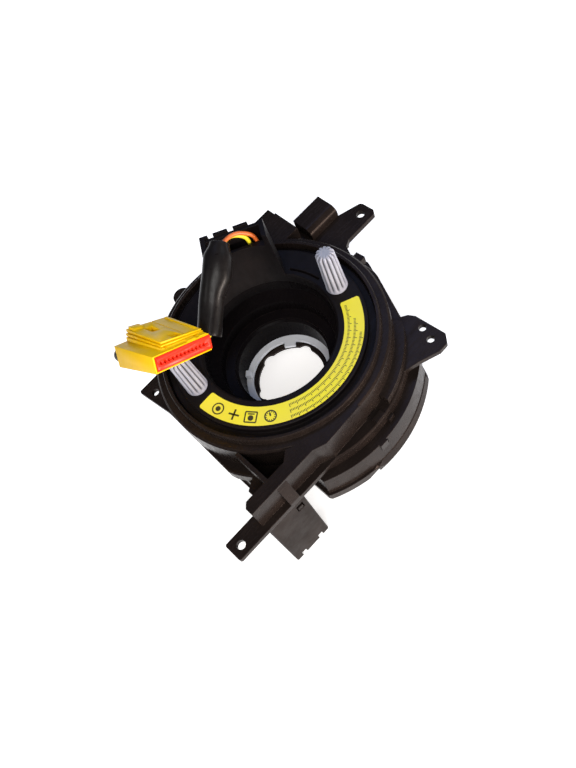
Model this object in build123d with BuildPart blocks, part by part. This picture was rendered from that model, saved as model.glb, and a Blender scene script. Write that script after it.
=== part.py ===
from build123d import *
import math
import os

os.makedirs("parts", exist_ok=True)

# A steering clock spring: the rotary electrical coupler between a steering column and its wheel.
# Frame: +Z runs up the steering axis towards the driver. The origin is where that axis crosses the
# mounting face, the underside of the lugs. -Y is the side with the main harness connector.
# All sizes are in millimetres and all angles in degrees.

# ---- driving dimensions: rotor ----
rotor_turn = -11.7  # the rotor stands a little off centre
rotor_face_z = 19.5
rotor_face_radius = 41.5
rotor_skirt_radius = rotor_face_radius + 2.9
rotor_skirt_z = 16.4
rotor_underside_z = 14.9
hub_bore_radius = 28.8
hub_outer_radius = hub_bore_radius + 2.2
hub_column_radius = hub_bore_radius - 3.4
hub_neck_radius = hub_bore_radius + 0.1
hub_throat_radius = 20.2
hub_spigot_radius = hub_throat_radius + 2.8
hub_foot_z = -17.9
running_gap = 0.4
fit_clearance = 0.05

# ---- driving dimensions: driver pins, label and tower ----
pin_circle_radius = 35.0
pin_radius = 4.6
pin_height = 23.0
pin_taper = 1.7
flute_count = 12
flute_radius = 0.85
label_inner_radius = pin_circle_radius - 3.0
label_outer_radius = rotor_face_radius - 1.5
label_start = 192.7
label_end = 345.2
label_thickness = 0.2
tower_angle = 69.2
tower_half_width = 13.3
tower_depth = hub_bore_radius + 5.8
tower_wall = 2.0
tower_skin = 1.4
tower_top_z = 47.5
tower_inner_top_z = 40.5
header_top_z = 36.5

# ---- driving dimensions: stator ----
ridge_inner_radius = rotor_skirt_radius + running_gap
ridge_outer_radius = ridge_inner_radius + 1.5
drum_radius = ridge_outer_radius + 3.7
drum_wall = 2.4
drum_top_z = 16.5
flange_radius = drum_radius + 5.0
flange_top_z = 2.5
flange_skirt_z = -3.5
sensor_radius = flange_radius + 4.0
sensor_wall = 2.0
sensor_draft = 4.0
sensor_rim = 1.2
sensor_rim_height = 3.9
sensor_bottom_z = -18.5
cover_thickness = 1.5
column_opening_radius = 15.2
rim_notch_x = -9.3
rim_notch_width = 5.0
rim_notch_height = 3.0
wall_clip_x = -0.3
wall_clip_width = 3.8
board_thickness = 1.5
board_top_z = -14.0
front_edge_y = -51.7
block_front_y = -48.6
block_back_y = -43.2
block_left_x = -56.4
block_right_x = -23.4
left_edge_x = -51.5
back_edge_y = 59.6
right_edge_x = 51.0
lug_hole_radius = 1.9
small_hole_radius = 1.6

# ---- driving dimensions: connectors ----
shroud_right_x = -37.0
shroud_back_y = -41.2
shroud_bottom_z = -43.5
shroud_wall = 1.8
socket_depth = 19.0
terminal_width = 0.8
terminal_length = 12.0
side_socket_right_x = 67.4
side_socket_front_y = 28.6
side_socket_back_y = 40.0
side_socket_top_z = 8.5
side_socket_bottom_z = -22.0

# ---- driving dimensions: gears of the angle sensor ----
gear_module = 1.0
ring_teeth = 60
first_gear_teeth = 20
second_gear_teeth = 22
gear_top_z = -8.0
gear_thickness = 3.6
gear_backlash = 0.25
axle_radius = 1.5
axle_clearance = 0.06
first_gear_angle = 120.0
second_gear_angle = 60.0
magnet_radius = 3.0
magnet_thickness = 1.6

# ---- driving dimensions: ribbon and lead ----
ribbon_thickness = 0.4
ribbon_turns = 4
ribbon_inner_radius = hub_outer_radius + 1.0
ribbon_pitch = 3.4
core_radius = 0.85
sleeve_radius = 4.8
sleeve_bore = 2.3
plug_width = 23.8
plug_depth = 23.3
plug_thickness = 6.4
plug_step_height = 5.2
boot_radius = 2.7
boot_length = 3.0

rotor_plane = Plane(
    origin=(0, 0, 0),
    x_dir=(math.cos(math.radians(rotor_turn)), math.sin(math.radians(rotor_turn)), 0),
    z_dir=(0, 0, 1),
)
tower_turn = rotor_turn + tower_angle
tower_plane = Plane(
    origin=(0, 0, 0),
    x_dir=(math.cos(math.radians(tower_turn)), math.sin(math.radians(tower_turn)), 0),
    z_dir=(0, 0, 1),
)
plug_plane = Plane(Location((-43.6, -4.9, rotor_face_z + 40.3), (-32, 29, 19)))


def on_circle(radius, angle):
    return radius * math.cos(math.radians(angle)), radius * math.sin(math.radians(angle))


def save(part, name):
    part.label = name
    export_step(part, f"parts/{name}.step")


# ---- outer housing: drum, roof ring, flange with lugs and the front terminal block ----
drum_inner_radius = drum_radius - drum_wall
roof_underside_z = rotor_underside_z - 0.2
skirt_inner_radius = flange_radius - 2.2
terrace_radius = flange_radius - 1.0
terrace_top_z = 7.0
pit_wall_x = -43.6
corner_block_right_x = 46.4
corner_block_back_y = 49.4
latch_left_x = -43.3
latch_right_x = -38.4
rear_lug_centre = (-6.5, 58.9)
rear_lug_radius = 4.4
side_lug_hole = (73.7, 20.7)
front_lug_hole = (-67.3, -47.4)
left_lug_hole = (-46.9, 31.5)
pair_lug_holes = [(45.9, -40.3), (43.9, -46.4)]

with BuildPart() as outer_housing:
    with BuildSketch(Plane.XZ):
        with BuildLine():
            Polyline(
                (drum_inner_radius, 0),
                (skirt_inner_radius, 0),
                (skirt_inner_radius, flange_skirt_z),
                (flange_radius, flange_skirt_z),
                (flange_radius, flange_top_z - 0.6),
                (flange_radius - 0.6, flange_top_z),
                (drum_radius, flange_top_z),
                (drum_radius, drum_top_z - 0.8),
                (drum_radius - 0.8, drum_top_z),
                (ridge_outer_radius + 0.2, drum_top_z),
                (ridge_outer_radius, rotor_face_z - 0.4),
                (ridge_outer_radius - 0.4, rotor_face_z),
                (ridge_inner_radius, rotor_face_z),
                (ridge_inner_radius, roof_underside_z),
                (drum_inner_radius, roof_underside_z),
                close=True,
            )
        make_face()
    revolve(axis=Axis.Z)
    # flange plate with its straight edges and lugs
    with BuildSketch(Plane.XY):
        with BuildLine():
            Polyline(
                (-71.9, front_edge_y),
                (-18.0, front_edge_y),
                (-18.0, -30.0),
                (-45.4, -31.0),
                (-50.6, -34.1),
                (-50.6, -42.7),
                (-71.9, -42.7),
                close=True,
            )
        make_face()
        with BuildLine():
            Polyline(
                (left_edge_x, -19.0),
                (-40.0, -19.0),
                (-40.0, 37.6),
                (left_edge_x, 37.6),
                close=True,
            )
        make_face()
        with BuildLine():
            Polyline(
                (-3.0, 30.0),
                (right_edge_x, 15.6),
                (right_edge_x, back_edge_y),
                (-3.0, back_edge_y),
                close=True,
            )
        make_face()
        with BuildLine():
            Polyline(
                (40.0, 10.0),
                (55.5, 10.0),
                (57.2, 14.0),
                (60.5, 15.6),
                (77.4, 15.6),
                (78.8, 17.4),
                (78.5, 23.7),
                (77.9, 25.0),
                (67.8, side_socket_front_y),
                (40.0, side_socket_front_y),
                close=True,
            )
        make_face()
        with BuildLine():
            Polyline(
                (40.0, -26.0),
                (48.2, -32.0),
                (49.4, -34.7),
                (49.5, -49.5),
                (46.6, -52.9),
                (42.3, -53.0),
                (33.3, -49.5),
                (24.0, -47.0),
                close=True,
            )
        make_face()
        with BuildLine():
            Polyline((-17.5, 45.0), (-13.4, 54.6), (-10.8, 59.5), (2.0, 59.5), (2.0, 45.0), close=True)
        make_face()
        with Locations(rear_lug_centre):
            Circle(rear_lug_radius)
        Circle(drum_inner_radius, mode=Mode.SUBTRACT)
    extrude(amount=flange_top_z)
    # front terminal block on the flange, tapering into the drum
    with BuildSketch(Plane.XY.offset(flange_top_z)):
        with BuildLine():
            Polyline(
                (block_left_x, block_front_y),
                (block_right_x, block_front_y),
                (-17.8, -50.9),
                (1.0, -50.1),
                (1.0, -47.9),
                (-20.0, -44.5),
                (-30.0, -40.0),
                (-34.0, block_back_y),
                (-54.4, block_back_y),
                (block_left_x, block_back_y - 2.0),
                close=True,
            )
        make_face()
        # left wall of the pit between the drum and the block
        with Locations((pit_wall_x, -35.0)):
            Rectangle(1.8, 18.0)
        # corner block at the back, where the ribbon comes out of the drum
        with BuildLine():
            Polyline(
                (36.0, 29.7),
                (corner_block_right_x, 29.7),
                (corner_block_right_x, corner_block_back_y),
                (24.0, corner_block_back_y),
                (24.0, 42.0),
                close=True,
            )
        make_face()
        Circle(drum_inner_radius, mode=Mode.SUBTRACT)
    extrude(amount=drum_top_z - flange_top_z)
    # the corner block steps down behind
    with BuildSketch(Plane.XY.offset(drum_top_z)):
        with Locations((corner_block_right_x, corner_block_back_y)):
            Rectangle(26.0, 5.5, align=(Align.MAX, Align.MAX))
        Circle(drum_radius + 0.5, mode=Mode.SUBTRACT)
    extrude(amount=-3.0, mode=Mode.SUBTRACT)
    # raised terrace round the right of the flange
    with BuildSketch(Plane.XY.offset(flange_top_z)):
        with BuildLine():
            a = CenterArc((0, 0), terrace_radius, -77, 62)
            b = CenterArc((0, 0), drum_radius - 1.0, -77, 62)
            Line(a @ 0, b @ 0)
            Line(a @ 1, b @ 1)
        make_face()
    extrude(amount=terrace_top_z - flange_top_z)
    # ledge under the block and the latch strap that crosses it
    with BuildSketch(Plane.YZ.offset(latch_left_x)):
        with BuildLine():
            Polyline(
                (block_front_y + 1.0, drum_top_z - 1.0),
                (block_front_y, drum_top_z - 1.0),
                (front_edge_y, flange_top_z + 0.8),
                (front_edge_y, 0),
                (block_front_y + 1.0, 0),
                close=True,
            )
        make_face()
    extrude(amount=latch_right_x - latch_left_x)
    # clip block on the right of the front ledge
    with BuildSketch(Plane.XY.offset(flange_skirt_z)):
        with Locations(Location((0, 0, 0), (0, 0, -80.5))):
            with Locations((flange_radius + 0.2, 0)):
                Rectangle(2.6, 3.0)
    extrude(amount=3.0)
    # raised tab on the front ledge
    with BuildSketch(Plane.XY.offset(flange_top_z)):
        with Locations(Location((0, 0, 0), (0, 0, -84.3))):
            with Locations((flange_radius - 0.2, 0)):
                Rectangle(2.6, 5.2, align=(Align.MAX, Align.CENTER))
    extrude(amount=1.2)
    # snap bump beside the terrace
    with BuildSketch(Plane.XY):
        with Locations(Location((0, 0, 0), (0, 0, 4.5))):
            with Locations((flange_radius, 0)):
                Rectangle(4.2, 4.6)
    extrude(amount=flange_top_z + 2.0)
    # bolt and locating holes
    with Locations((*side_lug_hole, flange_top_z), (*front_lug_hole, flange_top_z)):
        Hole(lug_hole_radius, depth=flange_top_z)
    with Locations(*[(x, y, flange_top_z) for x, y in [*pair_lug_holes, left_lug_hole, rear_lug_centre]]):
        Hole(small_hole_radius, depth=flange_top_z)
    lug_corners = outer_housing.edges().filter_by(Axis.Z).filter_by(
        lambda e: e.center().Z < flange_top_z and e.length > 1.5
        and (e.center().X < -71.0 or e.center().X > 76.0
             or (e.center().Y < -49.0 and e.center().X > 40.0)
             or (abs(e.center().X - left_edge_x) < 0.1 and e.center().Y > 30.0))
    )
    fillet(lug_corners, 1.0)
save(outer_housing.part, "outer_housing")

# ---- floor of the ribbon chamber ----
floor_bottom_z = 0.4
floor_top_z = 2.0
with BuildPart() as chamber_floor:
    with BuildSketch(Plane.XY.offset(floor_bottom_z)):
        Circle(drum_inner_radius - fit_clearance)
        Circle(hub_neck_radius + running_gap, mode=Mode.SUBTRACT)
    extrude(amount=floor_top_z - floor_bottom_z)
save(chamber_floor.part, "chamber_floor")

# ---- flat ribbon cable, wound as a spiral of tangent half turns ----
ribbon_height = 11.2
half_step = ribbon_pitch / 2


def spiral_edge(start_radius):
    # Each half turn is an arc about one of two centres, so that every join is tangent.
    for half_turn in range(2 * ribbon_turns):
        radius = start_radius + half_step * half_turn
        centre_x = half_step * (half_turn % 2)
        CenterArc((centre_x, 0), radius, 180 * (half_turn % 2), 180)


with BuildPart() as ribbon_cable:
    with BuildSketch(Plane.XY.offset(floor_top_z)):
        with BuildLine() as ribbon_line:
            spiral_edge(ribbon_inner_radius)
            spiral_edge(ribbon_inner_radius + ribbon_thickness)
            end_x = ribbon_inner_radius + ribbon_turns * ribbon_pitch
            Line((ribbon_inner_radius, 0), (ribbon_inner_radius + ribbon_thickness, 0))
            Line((end_x, 0), (end_x + ribbon_thickness, 0))
        make_face()
    extrude(amount=ribbon_height)
save(ribbon_cable.part, "ribbon_cable")

# ---- angle sensor: a drafted tub under the flange, open downwards ----
tub_left_x = -50.6
tub_back_y = 58.0
tub_cut_x = -27.6
tub_cut_y = -38.6
tub_roof = 2.0
tub_roof_z = flange_skirt_z - tub_roof
first_gear_distance = gear_module * (ring_teeth + first_gear_teeth) / 2
second_gear_distance = gear_module * (ring_teeth + second_gear_teeth) / 2
first_gear_place = on_circle(first_gear_distance, first_gear_angle)
second_gear_place = on_circle(second_gear_distance, second_gear_angle)
gear_bottom_z = gear_top_z - gear_thickness
boss_gap = 0.05
rim_notch_y = -sensor_radius - 0.3
wall_clip_height = 4.5

with BuildSketch() as tub_outline:
    Circle(sensor_radius)
    with Locations((tub_left_x, 0)):
        Rectangle(40.0, 140.0, align=(Align.MAX, Align.CENTER), mode=Mode.SUBTRACT)
    with Locations((0, tub_back_y)):
        Rectangle(140.0, 40.0, align=(Align.CENTER, Align.MIN), mode=Mode.SUBTRACT)
    with Locations((tub_cut_x, tub_cut_y)):
        Rectangle(60.0, 60.0, align=(Align.MAX, Align.MAX), mode=Mode.SUBTRACT)

with BuildPart() as sensor_housing:
    with BuildSketch(Plane.XY.offset(flange_skirt_z)):
        add(tub_outline.sketch)
    extrude(amount=sensor_bottom_z - flange_skirt_z, taper=-sensor_draft)
    # the foot of the wall stands proud as a rim
    with BuildSketch(Plane.XY.offset(sensor_bottom_z)):
        add(tub_outline.sketch)
        offset(amount=sensor_wall)
    extrude(amount=sensor_rim_height)
    with BuildSketch(Plane.XY.offset(sensor_bottom_z)):
        with Locations((rim_notch_x, rim_notch_y)):
            Rectangle(rim_notch_width, 2 * sensor_wall, align=(Align.CENTER, Align.MAX))
    extrude(amount=rim_notch_height, mode=Mode.SUBTRACT)
    # raised clip on the front of the wall, with a slit beside it
    with BuildSketch(Plane.XY.offset(flange_skirt_z)):
        with Locations((wall_clip_x, -sensor_radius - 0.9)):
            Rectangle(wall_clip_width, sensor_wall, align=(Align.CENTER, Align.MIN))
    extrude(amount=-wall_clip_height)
    with BuildSketch(Plane.XY.offset(flange_skirt_z - 0.8)):
        with Locations((wall_clip_x + wall_clip_width / 2, -sensor_radius - 1.0)):
            Rectangle(0.6, sensor_wall + 0.2, align=(Align.MIN, Align.MIN))
    extrude(amount=0.8 - wall_clip_height, mode=Mode.SUBTRACT)
    # inside of the tub
    with BuildSketch(Plane.XY.offset(sensor_bottom_z)):
        add(tub_outline.sketch)
        offset(amount=-sensor_wall)
    extrude(amount=tub_roof_z - sensor_bottom_z, mode=Mode.SUBTRACT)
    with BuildSketch(Plane.XY.offset(tub_roof_z)):
        Circle(hub_neck_radius - 1.2)
    extrude(amount=tub_roof, mode=Mode.SUBTRACT)
    # axles for the two measuring gears hang from bosses on the roof
    with BuildSketch(Plane.XY.offset(gear_top_z + boss_gap)):
        with Locations(first_gear_place, second_gear_place):
            Circle(axle_radius + 1.2)
    extrude(until=Until.NEXT)
    with BuildSketch(Plane.XY.offset(gear_bottom_z)):
        with Locations(first_gear_place, second_gear_place):
            Circle(axle_radius)
    extrude(until=Until.NEXT)
save(sensor_housing.part, "sensor_housing")

# ---- bottom cover of the sensor, with posts that carry the circuit board ----
post_radius = 2.0
post_places = [(46.0, 22.0), (-40.0, 22.0), (40.0, -28.0), (-8.0, -50.0)]
cover_lobe_radius = 3.4
cover_bottom_z = sensor_bottom_z - cover_thickness
with BuildPart() as sensor_base_cover:
    with BuildSketch(Plane.XY.offset(cover_bottom_z)):
        add(tub_outline.sketch)
        offset(amount=sensor_wall - 0.4)
        with Locations((rim_notch_x, rim_notch_y)):
            Rectangle(
                rim_notch_width, 2 * sensor_wall, align=(Align.CENTER, Align.MAX), mode=Mode.SUBTRACT
            )
        Circle(column_opening_radius, mode=Mode.SUBTRACT)
        with PolarLocations(column_opening_radius - cover_lobe_radius + 1.4, 5, start_angle=20):
            Circle(cover_lobe_radius, mode=Mode.SUBTRACT)
    extrude(amount=cover_thickness)
    with BuildSketch(Plane.XY.offset(sensor_bottom_z)):
        with Locations(*post_places):
            Circle(post_radius)
    extrude(amount=board_top_z - board_thickness - sensor_bottom_z)
save(sensor_base_cover.part, "sensor_base_cover")

# ---- circuit board of the sensor ----
with BuildPart() as sensor_circuit_board:
    with BuildSketch(Plane.XY.offset(board_top_z)):
        add(tub_outline.sketch)
        offset(amount=-sensor_wall - running_gap)
        Circle(hub_spigot_radius + 2.0, mode=Mode.SUBTRACT)
    extrude(amount=-board_thickness)
save(sensor_circuit_board.part, "sensor_circuit_board")


def gear_outline(teeth, first_angle):
    # Points of straight-flanked teeth, thinned by the backlash, with a tooth centred on first_angle.
    pitch_radius = gear_module * teeth / 2
    root_radius = pitch_radius - 1.25 * gear_module
    tip_radius = pitch_radius + 0.85 * gear_module
    half_pitch = gear_module * math.pi / 4
    root_half = half_pitch * 1.3 - gear_backlash / 2
    tip_half = half_pitch * 0.45 - gear_backlash / 2
    points = []
    for tooth in range(teeth):
        centre = first_angle + 360.0 * tooth / teeth
        for radius, half in (
            (root_radius, -root_half),
            (tip_radius, -tip_half),
            (tip_radius, tip_half),
            (root_radius, root_half),
        ):
            points.append(on_circle(radius, centre + math.degrees(half / radius)))
    return points


# ---- ring gear on the hub, a tooth centred on each measuring gear ----
with BuildPart() as sensor_ring_gear:
    with BuildSketch(Plane.XY.offset(gear_bottom_z)):
        with BuildLine():
            Polyline(*gear_outline(ring_teeth, 0.0), close=True)
        make_face()
        Circle(hub_spigot_radius + fit_clearance, mode=Mode.SUBTRACT)
    extrude(amount=gear_thickness)
save(sensor_ring_gear.part, "sensor_ring_gear")

# ---- the two measuring gears with their magnets, a tooth gap facing the ring gear ----
measuring_gears = [
    ("first", first_gear_teeth, first_gear_place, first_gear_angle),
    ("second", second_gear_teeth, second_gear_place, second_gear_angle),
]
for order, teeth, place, angle in measuring_gears:
    with BuildPart() as measuring_gear:
        with BuildSketch(Plane(origin=(*place, gear_bottom_z))):
            with BuildLine():
                Polyline(*gear_outline(teeth, angle + 180.0 + 180.0 / teeth), close=True)
            make_face()
            Circle(axle_radius + axle_clearance, mode=Mode.SUBTRACT)
        extrude(amount=gear_thickness)
    save(measuring_gear.part, f"{order}_measuring_gear")
    with BuildPart() as gear_magnet:
        with BuildSketch(Plane(origin=(*place, gear_bottom_z))):
            Circle(magnet_radius)
        extrude(amount=-magnet_thickness)
    save(gear_magnet.part, f"{order}_gear_magnet")

# ---- hub sleeve that carries the rotor through the housing ----
cone_top_z = 9.0
cone_bottom_z = 4.0
column_bottom_z = -2.5
throat_top_z = -4.1
shoulder_z = 3.2
neck_bottom_z = -6.0
drive_ring_top_z = -16.4
with BuildPart() as hub_sleeve:
    with BuildSketch(Plane.XZ):
        with BuildLine():
            Polyline(
                (hub_bore_radius, rotor_underside_z),
                (hub_bore_radius, cone_top_z),
                (hub_column_radius, cone_bottom_z),
                (hub_column_radius, column_bottom_z),
                (hub_throat_radius + 1.0, column_bottom_z - 0.6),
                (hub_throat_radius + 1.0, throat_top_z),
                (hub_throat_radius, throat_top_z - 0.8),
                (hub_throat_radius, hub_foot_z),
                (hub_spigot_radius, hub_foot_z),
                (hub_spigot_radius, neck_bottom_z),
                (hub_neck_radius - 1.7, neck_bottom_z),
                (hub_neck_radius, shoulder_z),
                (hub_outer_radius, shoulder_z),
                (hub_outer_radius, rotor_underside_z),
                close=True,
            )
        make_face()
    revolve(axis=Axis.Z)
save(hub_sleeve.part, "hub_sleeve")

# ---- light ring in the foot of the hub, whose tabs take the column's drive ----
drive_ring_inner_radius = hub_throat_radius - 3.0
drive_ring_outer_radius = hub_throat_radius - fit_clearance
inner_tab_angle = 46.0
outer_tab_angle = 130.0
with BuildPart() as shaft_drive_ring:
    with BuildSketch(Plane.XY.offset(hub_foot_z)):
        Circle(drive_ring_outer_radius)
        Circle(drive_ring_inner_radius, mode=Mode.SUBTRACT)
        with Locations(Location((0, 0, 0), (0, 0, inner_tab_angle))):
            with Locations((drive_ring_inner_radius - 1.0, 0)):
                Rectangle(3.4, 5.0)
    extrude(amount=drive_ring_top_z - hub_foot_z)
    with BuildSketch(Plane.XY.offset(drive_ring_top_z - 0.01)):
        with Locations(Location((0, 0, 0), (0, 0, outer_tab_angle))):
            with Locations((drive_ring_outer_radius - 1.3, 0)):
                Rectangle(2.4, 3.0)
    extrude(amount=2.6)
save(shaft_drive_ring.part, "shaft_drive_ring")

# ---- rotor disc with the lead tower ----
groove_inner_radius = hub_bore_radius + 2.6
groove_outer_radius = groove_inner_radius + 1.0
cavity_inner = tower_depth - tower_skin - 3.0
cavity_outer = tower_depth - tower_skin
cavity_floor_z = 22.0
back_wall_top_z = 46.5
clip_centres = [4.5, -4.0]
clip_depth = 1.2
with BuildPart() as rotor_disc:
    with BuildSketch(Plane.XZ):
        with BuildLine():
            Polyline(
                (hub_bore_radius, rotor_underside_z),
                (hub_bore_radius, rotor_face_z - 0.8),
                (hub_bore_radius + 0.8, rotor_face_z),
                (rotor_face_radius - 0.3, rotor_face_z),
                (rotor_face_radius, rotor_face_z - 0.3),
                (rotor_face_radius, rotor_skirt_z),
                (rotor_skirt_radius, rotor_skirt_z),
                (rotor_skirt_radius, rotor_underside_z),
                close=True,
            )
        make_face()
    revolve(axis=Axis.Z)
    # tower block, flush with the bore on its inner side
    with BuildSketch(tower_plane.offset(rotor_underside_z)):
        with Locations((tower_depth, 0)):
            Rectangle(15.0, 2 * tower_half_width, align=(Align.MAX, Align.CENTER))
        Circle(hub_bore_radius, mode=Mode.SUBTRACT)
    extrude(amount=tower_top_z - rotor_underside_z)
    # the cavity for the header, between side walls
    with BuildSketch(tower_plane.offset(cavity_floor_z)):
        with Locations((cavity_outer, 0)):
            Rectangle(
                cavity_outer - cavity_inner,
                2 * (tower_half_width - tower_wall),
                align=(Align.MAX, Align.CENTER),
            )
    extrude(amount=tower_top_z - cavity_floor_z, mode=Mode.SUBTRACT)
    # the inner wall is lower than the side walls, and so is the back wall
    with BuildSketch(tower_plane.offset(tower_inner_top_z)):
        with Locations((cavity_outer, 0)):
            Rectangle(14.0, 2 * (tower_half_width - tower_wall), align=(Align.MAX, Align.CENTER))
    extrude(amount=tower_top_z - tower_inner_top_z, mode=Mode.SUBTRACT)
    with BuildSketch(tower_plane.offset(back_wall_top_z)):
        with Locations((cavity_outer, 0)):
            Rectangle(tower_skin, 2 * (tower_half_width - tower_wall), align=(Align.MIN, Align.CENTER))
    extrude(amount=tower_top_z - back_wall_top_z, mode=Mode.SUBTRACT)
    # snap bridges on the back of the tower, each with a window through the wall
    with BuildSketch(tower_plane.offset(tower_top_z - 6.5)):
        with Locations(*[(tower_depth, centre) for centre in clip_centres]):
            Rectangle(clip_depth, 6.0, align=(Align.MIN, Align.CENTER))
        with Locations((tower_depth, tower_half_width)):
            Rectangle(clip_depth, 3.4, align=(Align.MIN, Align.MAX))
    extrude(amount=6.5)
    with BuildSketch(tower_plane.offset(tower_top_z - 4.5)):
        with Locations(*[(tower_depth, centre) for centre in clip_centres]):
            Rectangle(2 * clip_depth + 2.0, 3.6)
    extrude(amount=2.6, mode=Mode.SUBTRACT)
    # short arc groove beside the tower
    with BuildSketch(rotor_plane.offset(rotor_face_z)):
        with BuildLine():
            a = CenterArc((0, 0), groove_outer_radius, 13.7, 26.0)
            b = CenterArc((0, 0), groove_inner_radius, 13.7, 26.0)
            Line(a @ 0, b @ 0)
            Line(a @ 1, b @ 1)
        make_face()
    extrude(amount=-1.5, mode=Mode.SUBTRACT)
save(rotor_disc.part, "rotor_disc")

# ---- fluted driver pins that the steering wheel drops over ----
pin_top_scale = 1 - pin_height * math.tan(math.radians(pin_taper)) / pin_radius
with BuildSketch() as pin_outline:
    Circle(pin_radius)
    with PolarLocations(pin_radius + flute_radius * 0.2, flute_count):
        Circle(flute_radius, mode=Mode.SUBTRACT)

for side, angle in (("right", 0.0), ("left", 180.0)):
    pin_place = on_circle(pin_circle_radius, rotor_turn + angle)
    with BuildPart() as driver_pin:
        with BuildSketch(Plane(origin=(*pin_place, rotor_face_z))):
            add(pin_outline.sketch)
        with BuildSketch(Plane(origin=(*pin_place, rotor_face_z + pin_height))):
            add(scale(pin_outline.sketch, pin_top_scale, mode=Mode.PRIVATE))
        loft(ruled=True)
    save(driver_pin.part, f"driver_pin_{side}")

# ---- yellow label on the rotor face ----
with BuildPart() as yellow_label:
    with BuildSketch(rotor_plane.offset(rotor_face_z)):
        with BuildLine():
            a = CenterArc((0, 0), label_outer_radius, label_start, label_end - label_start)
            b = CenterArc((0, 0), label_inner_radius, label_start, label_end - label_start)
            Line(a @ 0, b @ 0)
            Line(a @ 1, b @ 1)
        label_face = make_face()
        fillet(label_face.vertices(), 1.0)
    extrude(amount=label_thickness)
save(yellow_label.part, "yellow_label")

# ---- header inside the tower, where the lead's cores end ----
with BuildPart() as tower_header:
    with BuildSketch(tower_plane.offset(cavity_floor_z)):
        with Locations((cavity_outer, 0)):
            Rectangle(
                cavity_outer - cavity_inner,
                2 * (tower_half_width - tower_wall),
                align=(Align.MAX, Align.CENTER),
            )
    extrude(amount=header_top_z - cavity_floor_z)
save(tower_header.part, "tower_header")

# ---- main harness connector: a shroud that hangs from the flange and opens downwards ----
shroud_width = shroud_right_x - block_left_x
shroud_depth = shroud_back_y - front_edge_y
shroud_centre = ((shroud_right_x + block_left_x) / 2, (shroud_back_y + front_edge_y) / 2)
latch_peg_x = (latch_left_x + latch_right_x) / 2
socket_top_z = shroud_bottom_z + socket_depth
with BuildPart() as harness_connector_shroud:
    with BuildSketch():
        with Locations(shroud_centre):
            RectangleRounded(shroud_width, shroud_depth, 0.8)
    extrude(amount=shroud_bottom_z)
    with BuildSketch(Plane.XY.offset(shroud_bottom_z)):
        with Locations(shroud_centre):
            Rectangle(shroud_width - 2 * shroud_wall, shroud_depth - 2 * shroud_wall)
    extrude(amount=socket_depth, mode=Mode.SUBTRACT)
    # recess with the latch peg standing in it
    with BuildSketch(Plane.XZ.offset(-front_edge_y)):
        with Locations((latch_peg_x, -4.6)):
            Rectangle(3.6, 5.0)
        with Locations((latch_peg_x, -5.4)):
            Rectangle(2.4, 2.2, mode=Mode.SUBTRACT)
    extrude(amount=-1.4, mode=Mode.SUBTRACT)
    # notches in the lip for the plug's keys
    with BuildSketch(Plane.XY.offset(shroud_bottom_z)):
        with Locations((shroud_centre[0] - 5.0, front_edge_y), (shroud_centre[0] + 5.0, front_edge_y)):
            Rectangle(2.4, 2 * shroud_wall + 1.0)
    extrude(amount=3.0, mode=Mode.SUBTRACT)
save(harness_connector_shroud.part, "harness_connector_shroud")

with BuildPart() as harness_terminals:
    with BuildSketch(Plane.XY.offset(socket_top_z)):
        with Locations(shroud_centre):
            with GridLocations(1.8, 3.0, 8, 2):
                Rectangle(terminal_width, terminal_width)
    extrude(amount=-terminal_length)
save(harness_terminals.part, "harness_terminals")

# ---- side connector at the back right, with a rounded top edge and an open foot ----
side_depth = side_socket_back_y - side_socket_front_y
side_centre_y = (side_socket_back_y + side_socket_front_y) / 2
side_foot_left_x = math.sqrt((sensor_radius + sensor_wall + running_gap) ** 2 - side_socket_front_y**2)
side_foot_width = side_socket_right_x - side_foot_left_x
side_foot_centre = ((side_socket_right_x + side_foot_left_x) / 2, side_centre_y)
side_socket_depth = 16.0
with BuildPart() as side_connector_housing:
    with BuildSketch(Plane.XY.offset(flange_skirt_z)):
        with Locations((side_socket_right_x, side_centre_y)):
            Rectangle(side_socket_right_x - right_edge_x, side_depth, align=(Align.MAX, Align.CENTER))
    extrude(amount=side_socket_top_z - flange_skirt_z)
    top_edges = side_connector_housing.faces().sort_by(Axis.Z)[-1].edges().filter_by(Axis.X).sort_by(Axis.Y)
    fillet(top_edges[0], 3.5)
    # below the flange it narrows to stand clear of the sensor
    with BuildSketch(Plane.XY.offset(side_socket_bottom_z)):
        with Locations(side_foot_centre):
            Rectangle(side_foot_width, side_depth)
    extrude(amount=flange_skirt_z - side_socket_bottom_z)
    with BuildSketch(Plane.XY.offset(side_socket_bottom_z)):
        with Locations(side_foot_centre):
            Rectangle(side_foot_width - 2 * shroud_wall, side_depth - 2 * shroud_wall)
    extrude(amount=side_socket_depth, mode=Mode.SUBTRACT)
save(side_connector_housing.part, "side_connector_housing")

with BuildPart() as side_terminals:
    with BuildSketch(Plane.XY.offset(side_socket_bottom_z + side_socket_depth)):
        with Locations(side_foot_centre):
            with GridLocations(2.2, 3.2, 4, 2):
                Rectangle(terminal_width, terminal_width)
    extrude(amount=-terminal_length + 3.0)
save(side_terminals.part, "side_terminals")

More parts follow.
